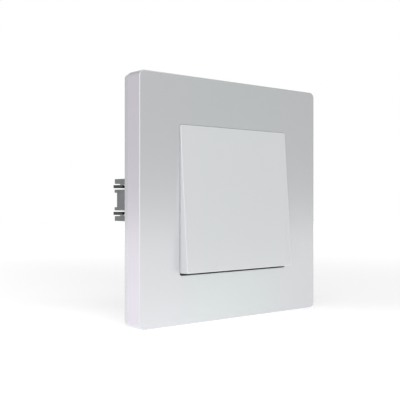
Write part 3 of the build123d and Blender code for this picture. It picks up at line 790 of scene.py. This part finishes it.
@dataclass
class ClawScrew(Piece):
    """Screw of a claw, with a cut thread in place of the plain shank of its node.

    The thread runs from behind the neck, which ends at neck_end, to the pointed tip. It stands depth high,
    with a flat of crest on top, and at its foot, sunk into the core by root_in, valley lies between turns.
    """

    pitch: float = 0.5 * MM
    depth: float = 0.31 * MM
    root_in: float = 0.06 * MM
    crest: float = 0.06 * MM
    valley: float = 0.04 * MM
    neck_end: float = 0.4 * MM
    tip: float = 0.5 * MM
    steps: int = 24

    def build(self) -> bpy.types.Object:
        """Model the screw: head and neck of the node, core, and thread.

        Returns:
            The new object, which stands for its node.
        """
        low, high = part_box(self.node)
        axis = Vector(((low.x + high.x) / 2, 0.0, (low.z + high.z) / 2))
        mesh = merged_copy(self.node)
        radius = self._core(mesh, axis, high.y)
        self._thread(mesh, axis, radius, high.y - self.tip)
        seal(mesh)
        piece = as_object(f"{self.node}_threaded", mesh)
        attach(piece, node_body(self.node))
        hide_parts(self.node)
        return piece

    def _core(self, mesh: bmesh.types.BMesh, axis: Vector, end: float) -> float:
        """Cut the shank off behind the neck and draw a thinner core out to the tip.

        Args:
            mesh: Merged copy of the node.
            axis: A point of the screw's axis.
            end: Depth of the tip.

        Returns:
            The radius of the shank that was cut.
        """
        cut = bmesh.ops.bisect_plane(mesh, geom=whole(mesh), plane_co=(0.0, self.neck_end, 0.0),
                                     plane_no=(0.0, 1.0, 0.0), clear_outer=True)
        rim = [part for part in cut["geom_cut"] if isinstance(part, bmesh.types.BMEdge)]
        shank = max((vert.co - axis).xz.length for edge in rim for vert in edge.verts)
        core = shank - self.depth
        sections = [(core, self.neck_end), (core, end - self.tip), (core - self.tip, end)]
        last = shank
        for radius, y in sections:
            drawn = bmesh.ops.extrude_edge_only(mesh, edges=rim)["geom"]
            rim = [part for part in drawn if isinstance(part, bmesh.types.BMEdge)]
            verts = [part for part in drawn if isinstance(part, bmesh.types.BMVert)]
            narrow = Vector((radius / last, 1.0, radius / last))
            bmesh.ops.scale(mesh, vec=narrow, space=Matrix.Translation(-axis), verts=verts)
            bmesh.ops.translate(mesh, vec=(0.0, y - verts[0].co.y, 0.0), verts=verts)
            last = radius
        bmesh.ops.edgeloop_fill(mesh, edges=rim)
        return shank

    def _thread(self, mesh: bmesh.types.BMesh, axis: Vector, radius: float, end: float) -> None:
        """Wind the ridge of the thread round the core, running out at both ends.

        Args:
            mesh: Mesh to add to.
            axis: A point of the screw's axis.
            radius: Outer radius of the thread.
            end: Depth at which the thread ends.
        """
        root = radius - self.depth - self.root_in
        start = self.neck_end + self.pitch / 2
        turns = int((end - start) / self.pitch)
        half = (self.pitch - self.valley) / 2
        outline = [(root, -half), (radius, -self.crest / 2), (radius, self.crest / 2), (root, half)]
        section = [mesh.verts.new((axis.x + out, start + along, axis.z)) for out, along in outline]
        before = set(mesh.verts) - set(section)
        face = mesh.faces.new(section)
        bmesh.ops.spin(mesh, geom=section + face.edges[:] + [face], cent=axis, axis=(0.0, 1.0, 0.0),
                       dvec=(0.0, self.pitch / self.steps, 0.0), angle=math.tau * turns,
                       steps=self.steps * turns, use_merge=False)
        stop = start + turns * self.pitch
        for vert in set(mesh.verts) - before:
            reach = (vert.co - axis).xz.length
            fade = min((vert.co.y - start) / half, (stop - vert.co.y) / half, 1.0)
            limit = root + (radius - root) * max(fade, 0.0)
            if reach > limit:
                offset = (vert.co - axis) * (limit / reach)
                vert.co.x = axis.x + offset.x
                vert.co.z = axis.z + offset.z


@dataclass
class Insert:
    """Stiff pieces behind the frame: edges softened as a tool or mould leaves them, and threaded screws."""

    moulded: tuple[str, ...] = ("base_housing", "mechanism_cover", "rocker_carrier")
    stamped: tuple[str, ...] = ("support_ring",)
    paired: tuple[str, ...] = ("claw", "claw_nut")
    paired_fine: tuple[str, ...] = ("common_strip", "contact_lever")
    fine: tuple[str, ...] = ("cross_strip_flat", "cross_strip_joggled", "ring_rivets")

    def build(self, palette: Palette) -> None:
        """Model and dress the pieces.

        Args:
            palette: Materials of the switch.
        """
        rows = [(node, Edge.MOULDED) for node in self.moulded]
        rows += [(node, Edge.STAMPED) for node in self.stamped]
        rows += [(node, Edge.FINE) for node in self.fine]
        rows += [(f"release_button_{quarter}", Edge.FINE) for quarter in QUARTERS]
        for side in SIDES:
            rows += [(f"{kind}_{side}", Edge.STAMPED) for kind in self.paired]
            rows += [(f"{kind}_{side}", Edge.FINE) for kind in self.paired_fine]
            screw = ClawScrew(f"claw_screw_{side}")
            screw.dress(palette, screw.build())
        for node, edge in rows:
            softened = SoftEdged(node, edge)
            softened.dress(palette, softened.build())


@dataclass
class SoftBox:
    """Large soft lamp aimed at the origin."""

    name: str
    place: Vector
    width: float
    height: float
    power: float

    def build(self) -> None:
        """Hang the lamp."""
        lamp = bpy.data.lights.new(self.name, "AREA")
        lamp.shape = "RECTANGLE"
        lamp.size = self.width
        lamp.size_y = self.height
        lamp.energy = self.power
        holder = add_object(self.name, lamp)
        holder.location = self.place
        holder.rotation_euler = facing(-self.place)
        holder.visible_camera = False


@dataclass
class Sky:
    """Wide even light from far in front, tilted from straight down."""

    name: str
    tilt: float
    spread: float
    strength: float

    def build(self) -> None:
        """Hang the light."""
        lamp = bpy.data.lights.new(self.name, "SUN")
        lamp.energy = self.strength
        lamp.angle = math.radians(self.spread)
        tilt = math.radians(self.tilt)
        holder = add_object(self.name, lamp)
        holder.rotation_euler = facing(Vector((0.0, math.sin(tilt), -math.cos(tilt))))


@dataclass
class Studio:
    """White floor, white room, soft lamps and the camera.

    The floor's own light goes from the first glow to the second across fade, falls to painted_shadow behind
    the switch across painted_shadow_from, a painted shadow of the switch, and is raised by lift far off,
    across lift_from. The room lights the switch by room and is seen as bright as backdrop.
    """

    floor_half: float = 0.9
    floor_gap: float = 0.1 * MM
    floor_rough: float = 0.9
    speckle: float = 400 * MM
    whites: tuple[Colour, Colour] = ((0.90, 0.90, 0.90), (0.92, 0.92, 0.92))
    camera_place: Vector = field(default_factory=lambda: Vector((-0.1779, -0.2001, 0.0)))
    camera_towards: Vector = field(default_factory=lambda: Vector((0.6454, 0.7638, 0.0)))
    lens: float = 66.6
    sensor: float = 36.0
    nearest: float = 5 * MM
    room: float = 0.43
    backdrop: float = 1.0
    glow: tuple[float, float] = (0.60, 0.44)
    fade: tuple[float, float] = (-0.08, 0.06)
    painted_shadow: float = 0.72
    painted_shadow_from: tuple[float, float] = (-0.03, 0.04)
    lift: float = 0.13
    lift_from: tuple[float, float] = (0.12, 0.45)

    def build(self) -> None:
        """Set up the studio."""
        self._floor()
        self._room()
        self._lamps()
        self._camera()
        bpy.context.scene.view_settings.view_transform = "Standard"

    def _floor(self) -> None:
        """Wide pale floor just under the frame, with a soft light of its own, lowered behind the switch as a
        painted shadow.
        """
        low, _ = CAD_BOX
        mesh = bmesh.new()
        bmesh.ops.create_grid(mesh, x_segments=1, y_segments=1, size=self.floor_half)
        bmesh.ops.translate(mesh, verts=mesh.verts, vec=(0.0, 0.0, low.z - self.floor_gap))
        floor = as_object("floor", mesh)
        graph = Graph("floor_white")
        place = graph.coordinates()
        speckle = graph.noise(place, self.speckle, GRAIN_LAYERS)
        graph.link(graph.blend(speckle, *self.whites), graph.shader.inputs["Base Color"])
        graph.shader.inputs["Roughness"].default_value = self.floor_rough
        graph.shader.inputs["Emission Color"].default_value = WHITE
        glow = graph.between(graph.along(place, Vector((1.0, 0.0, 0.0)), *self.fade), *self.glow)
        # Painted shadow: the floor's own light is lowered behind the switch, along the camera's way, where
        # the switch's shadow falls
        shade = graph.between(graph.along(place, self.camera_towards, *self.painted_shadow_from), 1.0, self.painted_shadow)
        lift = graph.between(graph.distance(place, *self.lift_from), 0.0, self.lift)
        strength = graph.math("ADD", graph.math("MULTIPLY", glow, shade), lift)
        graph.link(strength, graph.shader.inputs["Emission Strength"])
        floor.data.materials.append(graph.material)

    def _room(self) -> None:
        """Even pale light from all round, seen as plain white."""
        world = bpy.data.worlds.new("room")
        bpy.context.scene.world = world
        world.use_nodes = True
        tree = world.node_tree
        tree.nodes.clear()
        output = tree.nodes.new("ShaderNodeOutputWorld")
        mixed = tree.nodes.new("ShaderNodeMixShader")
        path = tree.nodes.new("ShaderNodeLightPath")
        shades = []
        for strength in (self.room, self.backdrop):
            shade = tree.nodes.new("ShaderNodeBackground")
            shade.inputs["Color"].default_value = WHITE
            shade.inputs["Strength"].default_value = strength
            shades.append(shade)
        tree.links.new(path.outputs["Is Camera Ray"], mixed.inputs["Fac"])
        for shade, socket in zip(shades, (mixed.inputs[1], mixed.inputs[2])):
            tree.links.new(shade.outputs["Background"], socket)
        tree.links.new(mixed.outputs["Shader"], output.inputs["Surface"])

    def _lamps(self) -> None:
        """Wide sky from the front, and large boxes round the switch."""
        rows = [
            Sky("sky_front", tilt=35.0, spread=90.0, strength=0.60),
            SoftBox("front_left", Vector((-0.90, -1.05, 0.30)), width=2.0, height=1.2, power=6.0),
            SoftBox("back_left", Vector((-0.90, 1.05, 0.30)), width=2.0, height=1.2, power=0.90),
            SoftBox("back_right", Vector((0.60, 0.80, 0.30)), width=1.4, height=0.8, power=1.2),
        ]
        for row in rows:
            row.build()

    def _camera(self) -> None:
        """Camera at the left of the switch, level with its middle."""
        data = bpy.data.cameras.new("camera")
        data.lens = self.lens
        data.sensor_width = self.sensor
        data.clip_start = self.nearest
        holder = add_object("camera", data)
        holder.location = self.camera_place
        holder.rotation_euler = facing(self.camera_towards)
        bpy.context.scene.camera = holder


def main() -> None:
    """Build the finishes, the pieces and the studio in order."""
    logging.basicConfig(level=logging.INFO, format="%(name)s: %(message)s")
    palette = Palette()
    palette.mix()
    for node, piece in frame["nodes"].items():
        finish = ROCKER_PAINTED_LIGHTER_FINISH if node == "rocker" else node_slot(node)
        palette.paint(piece, finish)
        log.info("node %s in %s", node, finish)
    Insert().build(palette)
    Springs().build(palette)
    Studio().build()


if __name__ == "__main__":
    main()
